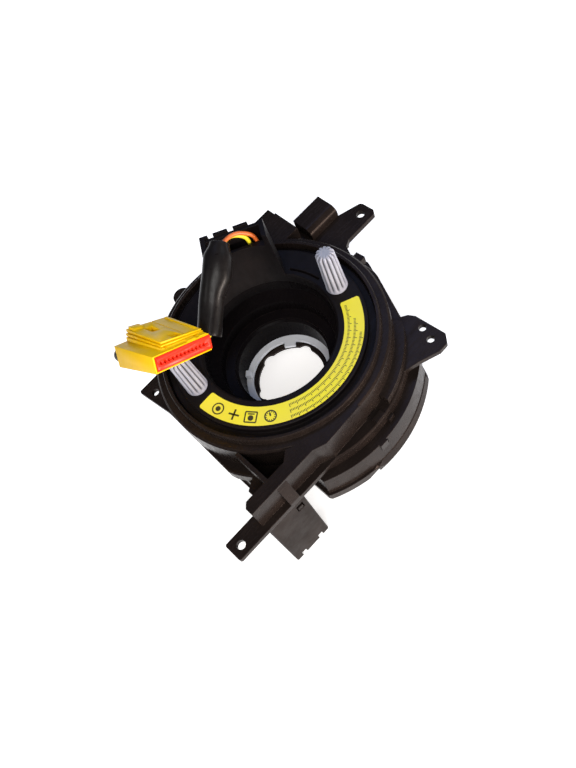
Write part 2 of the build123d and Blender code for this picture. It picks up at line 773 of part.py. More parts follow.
# ---- plug on the end of the lead: a stepped yellow body with a red lock in its face ----
step_left = 5.0
step_front = 2.5
plug_margin = 0.6
lock_depth = 4.0
lock_proud = 0.3
slot_count = 12
boot_across = 4.5
with BuildPart() as plug_body:
    with BuildSketch(plug_plane):
        Rectangle(plug_width, plug_depth, align=(Align.MIN, Align.MIN))
    extrude(amount=plug_thickness)
    with BuildSketch(plug_plane.offset(plug_thickness)):
        with Locations((step_left, step_front)):
            Rectangle(plug_width - step_left, plug_depth - step_front, align=(Align.MIN, Align.MIN))
    extrude(amount=plug_step_height)
    # two grooves run along the left side and the front of the step
    with BuildSketch(plug_plane.offset(plug_thickness + 1.7)):
        with Locations((step_left, step_front)):
            Rectangle(plug_width, plug_depth, align=(Align.MIN, Align.MIN))
        with Locations((step_left + 0.5, step_front + 0.5)):
            Rectangle(plug_width, plug_depth, align=(Align.MIN, Align.MIN), mode=Mode.SUBTRACT)
    extrude(amount=0.9, mode=Mode.SUBTRACT)
    # windows in the top and a raised corner behind
    with BuildSketch(plug_plane.offset(plug_thickness + plug_step_height)):
        with Locations((step_left + 6.0, 15.5), (step_left + 12.6, 9.4)):
            Rectangle(3.6, 2.5)
        with Locations((plug_width - 3.0, 6.2), (plug_width - 3.4, 15.5)):
            Rectangle(1.6, 1.6)
    extrude(amount=-2.4, mode=Mode.SUBTRACT)
    with BuildSketch(plug_plane.offset(plug_thickness + plug_step_height)):
        with Locations((step_left + 1.0, plug_depth - 1.0)):
            Rectangle(4.5, 3.2, align=(Align.MIN, Align.MAX))
    extrude(amount=0.9)
    # the mouth that the lock sits in
    with BuildSketch(plug_plane.offset(plug_margin)):
        with Locations((plug_margin, 0)):
            Rectangle(plug_width - 2 * plug_margin, lock_depth, align=(Align.MIN, Align.MIN))
    extrude(amount=plug_thickness - 2 * plug_margin, mode=Mode.SUBTRACT)
save(plug_body.part, "plug_body")

with BuildPart() as plug_lock:
    with BuildSketch(plug_plane.offset(plug_margin)):
        with Locations((plug_margin, -lock_proud)):
            Rectangle(plug_width - 2 * plug_margin, lock_depth + lock_proud, align=(Align.MIN, Align.MIN))
    extrude(amount=plug_thickness - 2 * plug_margin)
    with BuildSketch(plug_plane.offset(plug_thickness / 2 - 0.8)):
        with Locations((plug_width / 2, -lock_proud)):
            with GridLocations(1.7, 1.0, slot_count, 1):
                Rectangle(0.8, 3.0)
    extrude(amount=1.6, mode=Mode.SUBTRACT)
save(plug_lock.part, "plug_lock")

boot_plane = Plane(plug_plane * Location((boot_across, plug_depth, plug_thickness / 2), (-90, 0, 0)))
with BuildPart() as lead_boot:
    with BuildSketch(boot_plane):
        Circle(boot_radius)
    extrude(amount=boot_length)
save(lead_boot.part, "lead_boot")

# ---- the lead: two cores in a shrunk sleeve, from the tower's header to the plug's boot ----
lead_end = boot_plane.offset(boot_length).origin
lead_approach = boot_plane.offset(boot_length + 5.4).origin
core_spread = (boot_plane.x_dir - boot_plane.y_dir) * 0.67
header_z = header_top_z
yellow_route = [
    (21.1, 24.1, header_z),
    (21.0, 24.0, 44.5),
    (19.3, 24.1, 50.5),
    (15.3, 22.4, 53.6),
    (4.05, 18.3, 50.0),
    (-3.55, 14.6, 46.0),
    (-10.35, 10.9, 41.2),
    (-20.0, 5.0, 33.7),
    (-25.0, 13.5, 27.0),
    (-31.0, 21.0, 26.5),
    (-40.0, 28.5, 31.0),
    (-46.0, 29.0, 40.5),
    tuple(lead_approach - core_spread),
    tuple(lead_end - core_spread),
]
orange_route = [
    (23.8, 22.4, header_z),
    (23.7, 22.4, 44.5),
    (22.3, 22.2, 51.0),
    (17.0, 24.8, 55.3),
    (3.15, 20.1, 50.2),
    (-4.45, 16.4, 46.0),
    (-11.25, 12.7, 41.2),
    (-19.5, 7.2, 33.7),
    (-23.8, 15.2, 27.0),
    (-29.5, 22.4, 26.8),
    (-38.5, 29.8, 31.6),
    (-44.4, 30.0, 41.0),
    tuple(lead_approach + core_spread),
    tuple(lead_end + core_spread),
]
sleeve_route = [
    (10.6, 21.9, 52.3),
    (3.6, 19.2, 50.0),
    (-4.0, 15.5, 46.0),
    (-10.8, 11.8, 41.2),
    (-17.0, 8.0, 36.5),
]


def corner_radii(route):
    # Each corner's arc takes 0.45 of the shorter straight beside it.
    radii = []
    for before, corner, after in zip(route, route[1:], route[2:]):
        arriving = Vector(corner) - Vector(before)
        leaving = Vector(after) - Vector(corner)
        half_turn = math.radians(arriving.get_angle(leaving)) / 2
        radii.append(0.45 * min(arriving.length, leaving.length) / math.tan(half_turn))
    return radii


for name, route in (("yellow_core", yellow_route), ("orange_core", orange_route)):
    with BuildPart() as core:
        with BuildLine() as core_line:
            FilletPolyline(*route, radius=corner_radii(route))
        with BuildSketch(Plane(core_line.line.edges()[0] @ 0, z_dir=core_line.line.edges()[0] % 0)):
            Circle(core_radius)
        sweep()
    save(core.part, name)

with BuildPart() as lead_sleeve:
    with BuildLine() as sleeve_line:
        FilletPolyline(*sleeve_route, radius=corner_radii(sleeve_route))
    with BuildSketch(Plane(sleeve_line.line.edges()[0] @ 0, z_dir=sleeve_line.line.edges()[0] % 0)):
        Circle(sleeve_radius)
        Circle(sleeve_bore, mode=Mode.SUBTRACT)
    sweep()
save(lead_sleeve.part, "lead_sleeve")
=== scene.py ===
import math

import bmesh
import bpy
from bpy.props import (
    FloatProperty,
    FloatVectorProperty,
    IntProperty,
    PointerProperty,
)
from mathutils import Euler, Matrix, Vector, noise


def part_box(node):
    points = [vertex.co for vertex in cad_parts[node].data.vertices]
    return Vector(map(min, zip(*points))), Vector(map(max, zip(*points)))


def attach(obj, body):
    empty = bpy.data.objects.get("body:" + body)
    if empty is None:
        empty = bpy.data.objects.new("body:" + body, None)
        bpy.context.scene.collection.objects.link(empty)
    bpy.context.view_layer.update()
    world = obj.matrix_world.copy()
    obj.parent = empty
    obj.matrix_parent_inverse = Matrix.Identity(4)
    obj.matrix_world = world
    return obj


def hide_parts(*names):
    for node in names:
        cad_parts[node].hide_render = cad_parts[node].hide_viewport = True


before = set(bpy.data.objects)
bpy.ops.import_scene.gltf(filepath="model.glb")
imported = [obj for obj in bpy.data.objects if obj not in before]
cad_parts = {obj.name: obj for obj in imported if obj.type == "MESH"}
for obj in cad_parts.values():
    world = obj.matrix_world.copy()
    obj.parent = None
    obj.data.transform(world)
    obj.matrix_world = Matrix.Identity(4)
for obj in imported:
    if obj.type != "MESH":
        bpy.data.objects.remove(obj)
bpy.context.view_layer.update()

bl_info = {
    "name": "Steering Clock Spring",
    "version": (1, 0, 0),
    "blender": (4, 5, 0),
    "location": "3D View > Sidebar > Clock Spring",
    "description": "Builds the looks of a steering clock spring around its packed solids",
    "category": "Add Mesh",
}

# Metres, in the frame of the solids: +Z up the steering axis, the origin on the mounting face.
ROTOR_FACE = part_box("driver_pin_right")[0].z
LABEL_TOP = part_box("yellow_label")[1].z
FLOOR_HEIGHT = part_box("harness_connector_shroud")[0].z
PLUG_TURN = Euler((math.radians(-32), math.radians(29), math.radians(19)), "ZYX")
PLUG_CORNER = Vector((-0.0436, -0.0049, ROTOR_FACE + 0.0403))

YELLOW_ROUTE = [
    (0.0211, 0.0241, 0.0365),
    (0.02137, 0.02361, 0.0415),
    (0.0202, 0.0248, 0.0451),
    (0.0154, 0.0262, 0.0492),
    (0.00949, 0.02371, 0.0500),
    (0.00075, 0.0170, 0.0475),
    (-0.00805, 0.0123, 0.0420),
    (-0.01555, 0.0081, 0.0380),
    (-0.0202, 0.0078, 0.0350),
    (-0.0252, 0.0135, 0.0290),
    (-0.0310, 0.0210, 0.0265),
    (-0.0400, 0.0285, 0.0310),
    (-0.0460, 0.0290, 0.0405),
    (-0.048233, 0.024470, 0.047887),
    (-0.046695, 0.019688, 0.049870),
]
ORANGE_ROUTE = [
    (0.0238, 0.0224, 0.0365),
    (0.02370, 0.02162, 0.0415),
    (0.0226, 0.0228, 0.0452),
    (0.0176, 0.0257, 0.0491),
    (0.00908, 0.02452, 0.0505),
    (-0.00015, 0.0188, 0.0475),
    (-0.00895, 0.0141, 0.0420),
    (-0.01645, 0.0099, 0.0380),
    (-0.0210, 0.0096, 0.0352),
    (-0.0242, 0.0152, 0.0290),
    (-0.0295, 0.0224, 0.0268),
    (-0.0385, 0.0298, 0.0316),
    (-0.0444, 0.0300, 0.0410),
    (-0.046475, 0.025135, 0.048129),
    (-0.044937, 0.020354, 0.050112),
]
SLEEVE_ROUTE = [
    (0.00984, 0.02416, 0.0515),
    (0.0055, 0.0211, 0.0500),
    (0.0003, 0.0179, 0.0475),
    (-0.0049, 0.0150, 0.0445),
    (-0.00995, 0.0125, 0.0410),
    (-0.01777, 0.0079, 0.0368),
]
SLEEVE_FACE = Vector((-0.15, -0.49, 0.86))


def length_property(name, description, default, low=0.0, high=1.0):
    return FloatProperty(
        name=name,
        description=description,
        default=default,
        min=low,
        max=high,
        precision=5,
        unit="LENGTH",
        subtype="DISTANCE",
    )


def colour_property(name, description, default):
    return FloatVectorProperty(
        name=name,
        description=description,
        default=(*default, 1.0),
        size=4,
        min=0.0,
        max=1.0,
        subtype="COLOR",
    )


class PlasticSettings(bpy.types.PropertyGroup):
    """Moulded plastics of the housings and the sensor"""

    black: colour_property("Black", "Colour of the black plastic", (0.0125, 0.0090, 0.0078))
    inner_black: colour_property("Inner black", "Colour of the rotor and its hub", (0.0056, 0.0044, 0.0050))
    dust: colour_property("Dust", "Paler colour where the black plastic is dusty", (0.044, 0.031, 0.025))
    edge_radius: length_property("Edge radius", "Rounding that the edges show", 0.00035, 0.0, 0.002)
    grain_depth: length_property("Grain depth", "Depth of the moulded grain", 0.00003, 0.0, 0.001)
    # the ring's own pale grey, made paler still to stand in for the light that the bore keeps from it: partly
    # painted light
    ring_grey_and_painted_light: colour_property("Ring grey", "Colour of the shaft drive ring", (0.80, 0.82, 0.88))


class LeadSettings(bpy.types.PropertyGroup):
    """Two cores in a shrunk sleeve"""

    core_radius: length_property("Core radius", "Radius of each core", 0.00085, 0.0003, 0.003)
    yellow: colour_property("Yellow", "Insulation of the first core", (0.86, 0.74, 0.03))
    orange: colour_property("Orange", "Insulation of the second core", (0.80, 0.17, 0.03))
    sleeve_end: length_property("Sleeve end", "Half width at its closed-in top", 0.0040, 0.002, 0.007)
    sleeve_body: length_property("Sleeve body", "Half width of its upper half", 0.0058, 0.002, 0.007)
    sleeve_pinch: length_property("Sleeve pinch", "Half width where it is pinched", 0.0042, 0.002, 0.007)
    sleeve_mouth: length_property("Sleeve mouth", "Half width of its open lower end", 0.0050, 0.002, 0.007)
    sleeve_wall: length_property("Sleeve wall", "Thickness of its wall", 0.0008, 0.0002, 0.002)


class PinSettings(bpy.types.PropertyGroup):
    """Driver pins that carry the steering wheel's hub"""

    foot_radius: length_property("Foot radius", "Radius at the foot", 0.0046, 0.002, 0.008)
    top_radius: length_property("Top radius", "Radius at the top", 0.00395, 0.002, 0.008)
    height: length_property("Height", "Height above the rotor's face", 0.0230, 0.01, 0.04)
    flutes: IntProperty(name="Flutes", description="Number of flutes round a pin", default=12, min=3, max=40)
    flute_depth: length_property("Flute depth", "Depth of each flute", 0.00105, 0.0, 0.002)
    colour: colour_property("Colour", "Colour of the pins", (0.33, 0.34, 0.41))
    # painted shade: this darker colour down in the flutes stands in for the shade that falls in them, the
    # pins being one grey plastic
    groove: colour_property("Groove", "Colour down in the flutes", (0.075, 0.072, 0.085))


class LabelSettings(bpy.types.PropertyGroup):
    """Printed arc label on the rotor's face"""

    ground: colour_property("Ground", "Colour of the label", (0.93, 0.84, 0.02))
    ink: colour_property("Ink", "Colour of its printed scale", (0.045, 0.04, 0.01))
    line: length_property("Line", "Width of the scale's lines", 0.00028, 0.0001, 0.001)
    shape_line: length_property("Shape line", "Width of the plain shapes' lines", 0.00056, 0.0001, 0.001)
    tick_gap: length_property("Tick gap", "Distance between the scale's ticks", 0.00062, 0.0003, 0.005)


class PlugSettings(bpy.types.PropertyGroup):
    """Plug on the end of the lead"""

    width: length_property("Width", "Width across the lock's face", 0.0246, 0.01, 0.05)
    depth: length_property("Depth", "Depth from the lock to the boot", 0.0233, 0.01, 0.05)
    base: length_property("Base", "Thickness of the lower part", 0.0064, 0.002, 0.02)
    step: length_property("Step", "Height of the step on it", 0.0052, 0.001, 0.02)
    slots: IntProperty(name="Slots", description="Slots in the lock's face", default=12, min=1, max=30)
    edge_radius: length_property("Edge radius", "Rounding of the plug's edges", 0.00028, 0.0, 0.002)
    body: colour_property("Body", "Colour of the plug's body", (0.90, 0.54, 0.0))
    lock: colour_property("Lock", "Colour of the lock in its face", (0.74, 0.024, 0.004))


class SidesSettings(bpy.types.PropertyGroup):
    """Straight sides of the flange and of the sensor under it"""

    flange_radius: length_property("Flange radius", "Radius of the round flange", 0.055, 0.02, 0.1)
    sensor_radius: length_property("Sensor radius", "Radius of its wall at the top", 0.059, 0.02, 0.1)
    sensor_slope: FloatProperty(name="Sensor slope", description="How its wall leans", default=0.0533)
    right_turn: FloatProperty(name="Right turn", description="Way the right side faces", default=-23.4)
    right_reach: length_property("Right reach", "Axis to the right side", 0.0527, 0.02, 0.1)
    left_turn: FloatProperty(name="Left turn", description="Way the left side faces", default=178.5)
    left_reach: length_property("Left reach", "Axis to the left side", 0.0498, 0.02, 0.1)
    left_start: length_property("Left start", "Where the sensor is narrowed on its left", -0.040, -0.1, 0.0)
    left_share: FloatProperty(name="Left share", description="Share of its width left of there", default=0.70)


class StageSettings(bpy.types.PropertyGroup):
    """Floor, lights and camera"""

    floor: colour_property("Floor", "Colour of the floor", (0.90, 0.90, 0.90))
    floor_size: length_property("Floor size", "Width of the floor", 8.0, 1.0, 40.0)
    lens: FloatProperty(name="Lens", description="Focal length in mm", default=38.04, min=10, max=200)


def settings(name):
    return getattr(bpy.context.scene, "clock_spring_" + name)


# ---- meshes and curves ----
def new_piece(name, data):
    piece = bpy.data.objects.new(name, data)
    bpy.context.scene.collection.objects.link(piece)
    return piece


def mesh_piece(name, shape):
    """An object from a bmesh, with its doubles merged and its normals outward."""
    bmesh.ops.remove_doubles(shape, verts=shape.verts, dist=1e-7)
    bmesh.ops.recalc_face_normals(shape, faces=shape.faces)
    mesh = bpy.data.meshes.new(name)
    shape.to_mesh(mesh)
    shape.free()
    return new_piece(name, mesh)


def dress(piece, material, body, replaced=()):
    """Gives a piece its finish, its body and the solids that it stands for."""
    piece.data.materials.clear()
    piece.data.materials.append(material)
    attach(piece, body)
    if replaced:
        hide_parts(*replaced)
    return piece


def smooth(piece, degrees):
    """Smooth shading that breaks at edges sharper than this."""
    piece.data.shade_smooth()
    piece.data.set_sharp_from_angle(angle=math.radians(degrees))


def evaluated_mesh(piece):
    bpy.context.view_layer.update()
    graph = bpy.context.evaluated_depsgraph_get()
    return bpy.data.meshes.new_from_object(piece.evaluated_get(graph), depsgraph=graph)


def route_curve(name, route, radius=0.0):
    curve = bpy.data.curves.new(name, "CURVE")
    curve.dimensions = "3D"
    curve.resolution_u = 12
    curve.bevel_depth = radius
    curve.bevel_resolution = 6
    curve.use_fill_caps = radius > 0
    spline = curve.splines.new("NURBS")
    spline.points.add(len(route) - 1)
    for point, place in zip(spline.points, route):
        point.co = (*place, 1.0)
    spline.order_u = 3
    spline.use_endpoint_u = True
    return curve


def route_points(name, route):
    """Points along a route's smooth line."""
    line = new_piece(name, route_curve(name, route))
    mesh = evaluated_mesh(line)
    points = [vertex.co.copy() for vertex in mesh.vertices]
    bpy.data.objects.remove(line)
    bpy.data.meshes.remove(mesh)
    return points


def route_frames(points, count, facing):
    """Evenly spaced places on a line, each with its direction and two axes across it."""
    lengths = [0.0]
    for before, after in zip(points, points[1:]):
        lengths.append(lengths[-1] + (after - before).length)
    frames = []
    span = 0
    for step in range(count):
        wanted = lengths[-1] * step / (count - 1)
        while span < len(points) - 2 and lengths[span + 1] < wanted:
            span += 1
        share = (wanted - lengths[span]) / (lengths[span + 1] - lengths[span])
        place = points[span].lerp(points[span + 1], share)
        along = (points[span + 1] - points[span]).normalized()
        across = (facing - along * facing.dot(along)).normalized()
        frames.append((place, along, across, along.cross(across)))
    return frames


def bevelled(piece, radius, segments=2):
    """The same piece with its edges rounded."""
    bevel = piece.modifiers.new("edges", "BEVEL")
    bevel.width = radius
    bevel.segments = segments
    bevel.limit_method = "ANGLE"
    bevel.angle_limit = math.radians(30)
    bevel.harden_normals = True
    return applied(piece)


def applied(piece):
    """A piece of the same name with its modifiers worked into its mesh."""
    name = piece.name
    mesh = evaluated_mesh(piece)
    bpy.data.objects.remove(piece)
    shape = bmesh.new()
    shape.from_mesh(mesh)
    bpy.data.meshes.remove(mesh)
    bmesh.ops.remove_doubles(shape, verts=shape.verts, dist=1e-6)
    finished = mesh_piece(name, shape)
    smooth(finished, 40)
    return finished


def join_shape(piece, other, operation):
    """Joins another shape to a piece, or takes it away, and drops the other one."""
    change = piece.modifiers.new(operation.lower(), "BOOLEAN")
    change.operation = operation
    change.solver = "EXACT"
    change.use_self = True
    change.object = other
    finished = applied(piece)
    bpy.data.objects.remove(other)
    return finished


def blocks_piece(name, blocks):
    """Upright blocks, each given by its low and its high corner."""
    shape = bmesh.new()
    for low, high in blocks:
        low, high = Vector(low), Vector(high)
        middle = (low + high) / 2
        size = Matrix.Diagonal(high - low).to_4x4()
        bmesh.ops.create_cube(shape, size=1.0, matrix=Matrix.Translation(middle) @ size)
    mesh = bpy.data.meshes.new(name)
    shape.to_mesh(mesh)
    shape.free()
    return new_piece(name, mesh)


def solid_copy(node, name):
    """A copy of a solid's mesh with its seams joined, which keeps its own shading."""
    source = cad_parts[node].data
    shape = bmesh.new()
    shape.from_mesh(source)
    shading = shape.loops.layers.float_vector.new("own_shading")
    facing = shape.faces.layers.float_vector.new("own_facing")
    for face in shape.faces:
        face[facing] = source.polygons[face.index].normal
        for loop, corner in zip(face.loops, source.polygons[face.index].loop_indices):
            loop[shading] = source.corner_normals[corner].vector
    bmesh.ops.remove_doubles(shape, verts=shape.verts, dist=1e-6)
    return mesh_piece(name, shape)


def shaded_again(piece):
    """The solid's own shading where a face still faces the same way, and a fresh one elsewhere."""
    mesh = piece.data
    same_way = 0.99995
    smooth(piece, 18.0)
    fresh = [corner.vector.copy() for corner in mesh.corner_normals]
    shading = mesh.attributes["own_shading"].data
    facing = mesh.attributes["own_facing"].data
    for face in mesh.polygons:
        before = Vector(facing[face.index].vector)
        if before.dot(face.normal) < same_way:
            continue
        for corner in face.loop_indices:
            fresh[corner] = Vector(shading[corner].vector)
    mesh.normals_split_custom_set(fresh)
    mesh.attributes.remove(mesh.attributes["own_shading"])
    mesh.attributes.remove(mesh.attributes["own_facing"])
    return piece


def flatten_side(piece, degrees, reach, wall_radius, inner, low=-1.0, high=1.0):
    """Brings a round wall back to a straight side that lies at a given reach from the axis."""
    outward = Vector((math.cos(math.radians(degrees)), math.sin(math.radians(degrees)), 0.0))
    for vertex in piece.data.vertices:
        place = vertex.co
        radius = math.hypot(place.x, place.y)
        if radius < inner or not low <= place.z <= high:
            continue
        beyond = place.dot(outward) - (reach(place.z) + radius - wall_radius(place.z))
        if beyond > 0:
            vertex.co = place - outward * beyond


def plug_place(place):
    """A place given in the plug's own axes, in the frame's."""
    return PLUG_TURN.to_matrix() @ Vector(place) + PLUG_CORNER


def moulded_blocks(name, blocks, cuts, radius, taper):
    """One moulding of joined blocks with pockets in it, tapered and turned as the plug lies."""
    piece = blocks_piece(name, blocks[:1])
    for block in blocks[1:]:
        piece = join_shape(piece, blocks_piece("block", [block]), "UNION")
    for cut in cuts:
        piece = join_shape(piece, blocks_piece("pocket", [cut]), "DIFFERENCE")
    for vertex in piece.data.vertices:
        vertex.co = plug_place(taper(vertex.co))
    piece.name = name
    return bevelled(piece, radius)


# ---- finishes ----
def new_finish(name, metallic=0.0, specular=0.5):
    """A material with its tree and its shader."""
    material = bpy.data.materials.new(name)
    material.use_nodes = True
    shader = material.node_tree.nodes["Principled BSDF"]
    shader.inputs["Metallic"].default_value = metallic
    shader.inputs["Specular IOR Level"].default_value = specular
    return material, material.node_tree, shader


def add_node(tree, kind, inputs=None, **options):
    node = tree.nodes.new(kind)
    for name, value in options.items():
        setattr(node, name, value)
    for socket, value in (inputs or {}).items():
        if isinstance(value, bpy.types.NodeSocket):
            tree.links.new(value, node.inputs[socket])
        else:
            node.inputs[socket].default_value = value
    return node


def place_on_object(tree, stretch):
    coordinates = add_node(tree, "ShaderNodeTexCoord").outputs["Object"]
    return add_node(tree, "ShaderNodeMapping", {"Vector": coordinates, "Scale": stretch}).outputs["Vector"]


def cloud(tree, scale, detail, stretch=(1, 1, 1)):
    """Fine noise on the object's own coordinates."""
    return add_node(
        tree,
        "ShaderNodeTexNoise",
        {
            "Vector": place_on_object(tree, stretch),
            "Scale": scale,
            "Detail": detail,
            "Roughness": 0.55,
        },
    ).outputs["Fac"]


def span(tree, value, low, high, out_low, out_high):
    """Stretches one range of a value over another."""
    return add_node(
        tree,
        "ShaderNodeMapRange",
        {"Value": value, "From Min": low, "From Max": high, "To Min": out_low, "To Max": out_high},
    ).outputs["Result"]


def math_node(tree, operation, a, b):
    return add_node(tree, "ShaderNodeMath", {0: a, 1: b}, operation=operation).outputs[0]


def mix_colours(tree, share, a, b):
    return add_node(tree, "ShaderNodeMix", {0: share, 6: a, 7: b}, data_type="RGBA").outputs[2]


def mottle(tree, shader, share, colour, other):
    tree.links.new(mix_colours(tree, share, colour, other), shader.inputs["Base Color"])


def add_bump(tree, shader, strength, depth, height):
    bump = add_node(tree, "ShaderNodeBump", {"Strength": strength, "Distance": depth, "Height": height})
    tree.links.new(bump.outputs["Normal"], shader.inputs["Normal"])


def edge_wear(tree, radius):
    """1 on edges and 0 on flat faces, with the rounded normal that goes with it."""
    rounded = add_node(tree, "ShaderNodeBevel", {"Radius": radius}, samples=6).outputs["Normal"]
    flat = add_node(tree, "ShaderNodeNewGeometry").outputs["Normal"]
    likeness = add_node(tree, "ShaderNodeVectorMath", {0: rounded, 1: flat}, operation="DOT_PRODUCT")
    wear = span(tree, likeness.outputs["Value"], 0.995, 0.80, 0.0, 1.0)
    return rounded, wear


def moulded_finish(
    name,
    colour,
    dusty,
    edge_radius,
    grain_depth,
    rough=(0.30, 0.46),
    grain=1500.0,
    dust_share=0.5,
    specular=0.5,
    tint=(1.0, 1.0, 1.0),
):
    """Moulded plastic: fine grain, faint flow marks, dust, and paler worn edges."""
    material, tree, shader = new_finish(name, specular=specular)
    shader.inputs["Specular Tint"].default_value = (*tint, 1.0)
    patches = cloud(tree, 55.0, 4.0)
    specks = cloud(tree, 900.0, 2.0)
    scuffs = cloud(tree, 160.0, 3.0, stretch=(1.0, 6.0, 1.0))
    fine = cloud(tree, grain, 2.0)
    rounded, wear = edge_wear(tree, edge_radius)
    dust = span(tree, patches, 0.42, 0.78, 0.0, dust_share)
    dust = math_node(tree, "MULTIPLY", dust, span(tree, specks, 0.35, 0.65, 0.5, 1.0))
    worn = math_node(tree, "MULTIPLY", wear, span(tree, scuffs, 0.40, 0.62, 0.1, 0.4))
    share = math_node(tree, "MAXIMUM", dust, worn)
    mottle(tree, shader, share, colour, dusty)
    roughness = math_node(
        tree,
        "ADD",
        span(tree, scuffs, 0.35, 0.70, rough[0], rough[1]),
        span(tree, specks, 0.3, 0.7, -0.03, 0.03),
    )
    tree.links.new(roughness, shader.inputs["Roughness"])
    bump = add_node(
        tree,
        "ShaderNodeBump",
        {"Strength": 0.6, "Distance": grain_depth, "Height": fine, "Normal": rounded},
    )
    tree.links.new(bump.outputs["Normal"], shader.inputs["Normal"])
    return material


def rubber_finish(name, colour, paler):
    """Shrunk tubing: satin with fine lines along it."""
    material, tree, shader = new_finish(name, specular=0.16)
    patches = cloud(tree, 120.0, 3.0)
    fine = cloud(tree, 700.0, 3.0, stretch=(1.0, 1.0, 0.4))
    mottle(tree, shader, span(tree, patches, 0.4, 0.75, 0.0, 0.8), colour, paler)
    tree.links.new(span(tree, fine, 0.3, 0.7, 0.26, 0.38), shader.inputs["Roughness"])
    add_bump(tree, shader, 0.35, 0.00008, fine)
    return material


def insulation_finish(name, colour):
    """Extruded insulation of a core: smooth, a little uneven in colour."""
    material, tree, shader = new_finish(name, specular=0.5)
    patches = cloud(tree, 300.0, 2.0)
    fine = cloud(tree, 2500.0, 2.0)
    darker = [value * 0.72 for value in colour[:3]] + [1.0]
    mottle(tree, shader, span(tree, patches, 0.35, 0.7, 0.0, 1.0), colour, darker)
    tree.links.new(span(tree, fine, 0.3, 0.7, 0.30, 0.45), shader.inputs["Roughness"])
    add_bump(tree, shader, 0.3, 0.00003, fine)
    return material


def metal_finish(name, colour):
    """Drawn metal: faint lines along it, and darker patches."""
    material, tree, shader = new_finish(name, metallic=1.0)
    patches = cloud(tree, 400.0, 3.0)
    lines = cloud(tree, 900.0, 2.0, stretch=(1.0, 8.0, 1.0))
    darker = [value * 0.6 for value in colour[:3]] + [1.0]
    mottle(tree, shader, span(tree, patches, 0.4, 0.7, 0.0, 1.0), colour, darker)
    tree.links.new(span(tree, lines, 0.3, 0.7, 0.22, 0.40), shader.inputs["Roughness"])
    add_bump(tree, shader, 0.3, 0.00002, lines)
    return material


def label_finish(name, ground):
    """Printed film: bright, faintly mottled, with a soft gloss."""
    material, tree, shader = new_finish(name, specular=0.45)
    patches = cloud(tree, 45.0, 3.0)
    fine = cloud(tree, 1300.0, 3.0)
    worn = [ground[0] * 0.95, ground[1] * 0.90, ground[2] + 0.05, 1.0]
    mottle(tree, shader, span(tree, patches, 0.35, 0.7, 0.0, 1.0), ground, worn)
    tree.links.new(span(tree, fine, 0.3, 0.7, 0.38, 0.52), shader.inputs["Roughness"])
    add_bump(tree, shader, 0.25, 0.00002, fine)
    return material


# ---- pieces ----
class CLOCKSPRING_OT_lead_cores(bpy.types.Operator):
    """Lay the yellow and the orange core along their routes"""

    bl_idname = "clockspring.lead_cores"
    bl_label = "Lead Cores"

    def execute(self, context):
        lead = settings("lead")
        for colour, route in (("yellow", YELLOW_ROUTE), ("orange", ORANGE_ROUTE)):
            name = f"lead_core_{colour}"
            core = new_piece(name, route_curve(name, route, lead.core_radius))
            finish = insulation_finish(f"{colour}_insulation", getattr(lead, colour))
            dress(core, finish, "rotor", [f"{colour}_core"])
        return {"FINISHED"}


class CLOCKSPRING_OT_lead_sleeve(bpy.types.Operator):
    """Form the shrunk sleeve round the cores, open at both ends"""

    bl_idname = "clockspring.lead_sleeve"
    bl_label = "Lead Sleeve"

    def execute(self, context):
        lead = settings("lead")
        rings, around = 40, 56
        frames = route_frames(route_points("sleeve_line", SLEEVE_ROUTE), rings, SLEEVE_FACE)
        wall = lead.sleeve_wall

        def blend(share, stations):
            """Half width at a share of the length, smooth between the stations."""
            for (before, low), (after, high) in zip(stations, stations[1:]):
                if share <= after:
                    part = (share - before) / (after - before)
                    return low + (high - low) * part * part * (3 - 2 * part)
            return stations[-1][1]

        top, full, pinch, mouth = lead.sleeve_end, lead.sleeve_body, lead.sleeve_pinch, lead.sleeve_mouth
        left = ((0.0, top), (0.16, full), (0.6, full * 0.96), (1.0, mouth))
        bulge, waist = (0.36, full * 1.05), (0.58, pinch)
        right = ((0.0, top), (0.16, full), bulge, waist, (0.75, pinch * 1.06), (1.0, mouth))
        deep = ((0.0, top * 1.1), (0.2, full * 0.86), (0.55, pinch), (1.0, mouth * 1.04))

        def ring(share, inset, beyond=0.0):
            """One ring of points across the sleeve."""
            place, along, across, side = frames[round(share * (rings - 1))]
            place = place + along * beyond
            height = blend(share, deep) - inset
            points = []
            for step in range(around):
                turn = 2 * math.pi * step / around
                width = blend(share, right if math.sin(turn) < 0 else left) - inset
                ripple = noise.noise(Vector((math.cos(turn) * 1.3, math.sin(turn) * 1.3, share * 4.0)))
                swell = 1.0 + 0.03 * ripple
                points.append(
                    place
                    + across * math.cos(turn) * height * swell
                    + side * math.sin(turn) * width * swell
                )
            return points

        loops = [ring(index / (rings - 1), 0.0) for index in range(rings)]
        loops += [
            ring(1.0, wall / 2 * (1 - math.cos(turn)), wall / 2 * math.sin(turn))
            for turn in (math.pi * step / 6 for step in range(1, 6))
        ]
        loops += [ring(index / (rings - 1), wall) for index in reversed(range(rings))]
        loops += [
            ring(0.0, wall / 2 * (1 + math.cos(turn)), -wall / 2 * math.sin(turn))
            for turn in (math.pi * step / 6 for step in range(1, 6))
        ]
        shape = bmesh.new()
        rows = [[shape.verts.new(point) for point in loop] for loop in loops]
        for row, following in zip(rows, rows[1:] + rows[:1]):
            for step in range(around):
                after = (step + 1) % around
                shape.faces.new((row[step], row[after], following[after], following[step]))
        sleeve = mesh_piece("shrunk_sleeve", shape)
        sleeve.data.shade_smooth()
        finish = rubber_finish("sleeve_rubber", (0.0065, 0.0055, 0.0055, 1), (0.014, 0.012, 0.012, 1))
        dress(sleeve, finish, "rotor", ["lead_sleeve"])
        return {"FINISHED"}


